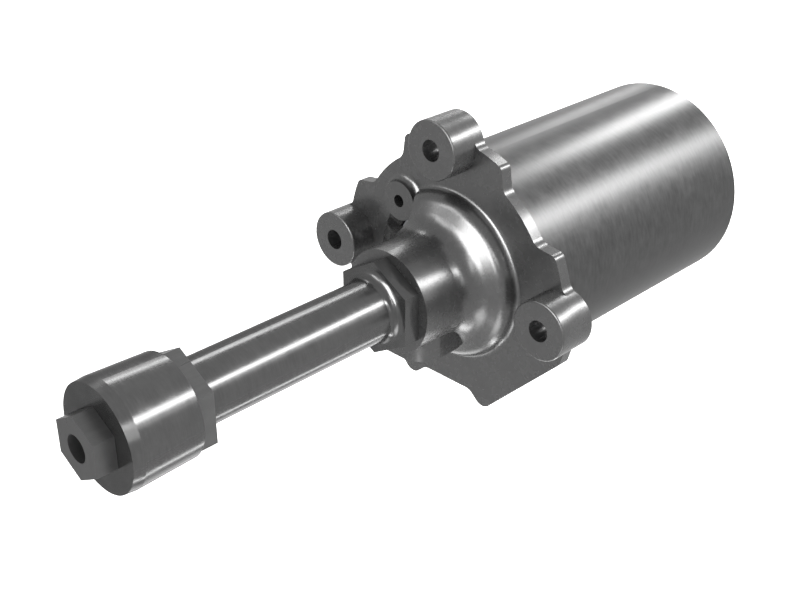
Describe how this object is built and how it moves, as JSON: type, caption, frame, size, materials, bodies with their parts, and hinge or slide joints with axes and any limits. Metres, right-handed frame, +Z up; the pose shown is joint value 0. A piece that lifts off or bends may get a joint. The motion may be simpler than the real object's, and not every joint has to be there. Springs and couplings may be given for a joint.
{
  "type": "air-over-hydraulic cylinder",
  "caption": "Air chamber with a flanged, bell-shaped cover that drives a small plunger in a slim hydraulic barrel, ending in a hexagon outlet fitting.",
  "frame": {"origin": "on the cylinder axis, in the plane of the three mounting boss faces", "axes": "+X along the cylinder axis towards the fluid outlet, +Z up through the top mounting boss"},
  "size_m": [0.2853, 0.1236, 0.1117],
  "materials": {
    "cast_cover": "cast and tumbled, satin grey",
    "can_steel": "drawn tube, lightly scuffed, semi-gloss",
    "end_plate_steel": "turned face, satin",
    "weld_steel": "weld bead, satin",
    "bung_steel": "turned, satin",
    "barrel_steel": "ground tube and milled collar, semi-gloss",
    "nut_steel": "milled flats, satin",
    "housing_steel": "turned, semi-gloss",
    "fitting_steel": "milled flats, satin",
    "plate_steel": "plain machined",
    "spring_steel": "oil tempered wire",
    "rod_chrome": "ground and hard chromed",
    "piston_aluminium": "turned",
    "bush_bronze": "sintered bronze",
    "valve_brass": "turned brass",
    "nitrile_rubber": "moulded, matt",
    "guide_plastic": "filled fluoropolymer strip"
  },
  "bodies": {
    "housing": {"front_cover": "cast_cover", "air_chamber_can": "can_steel", "rear_end_plate": "end_plate_steel", "end_plate_weld": "weld_steel", "air_inlet_bung": "bung_steel", "can_seal_ring": "nitrile_rubber", "hydraulic_barrel": "barrel_steel", "barrel_seal_ring": "nitrile_rubber", "barrel_lock_nut": "nut_steel", "outlet_housing": "housing_steel", "valve_seat_ring": "nitrile_rubber", "residual_valve_spring": "spring_steel", "outlet_fitting": "fitting_steel", "fitting_seal_ring": "nitrile_rubber", "rod_bush": "bush_bronze", "rod_seal": "nitrile_rubber", "gland_snap_ring": "spring_steel", "spring_seat_ring": "plate_steel", "return_spring": "spring_steel"},
    "ram": {"stop_ring": "nitrile_rubber", "cup_clamp_plate": "plate_steel", "piston_cup": "nitrile_rubber", "air_piston": "piston_aluminium", "piston_guide_ring": "guide_plastic", "push_rod": "rod_chrome", "piston_nut": "nut_steel", "plunger_head": "plate_steel", "plunger_cup": "nitrile_rubber", "cup_screw": "plate_steel"},
    "valve": {"residual_valve_poppet": "valve_brass"}
  },
  "joints": [
    {"name": "ram_slide", "type": "slide", "parent": "housing", "child": "ram", "axis": [1, 0, 0], "range_m": [0, 0.07], "stiffness_N_per_m": 2100, "springref_m": -0.025, "deforming": ["return_spring"]},
    {"name": "valve_slide", "type": "slide", "parent": "housing", "child": "valve", "axis": [1, 0, 0], "range_m": [0, 0.002], "stiffness_N_per_m": 800, "springref_m": -0.002, "deforming": ["residual_valve_spring"]}
  ]
}
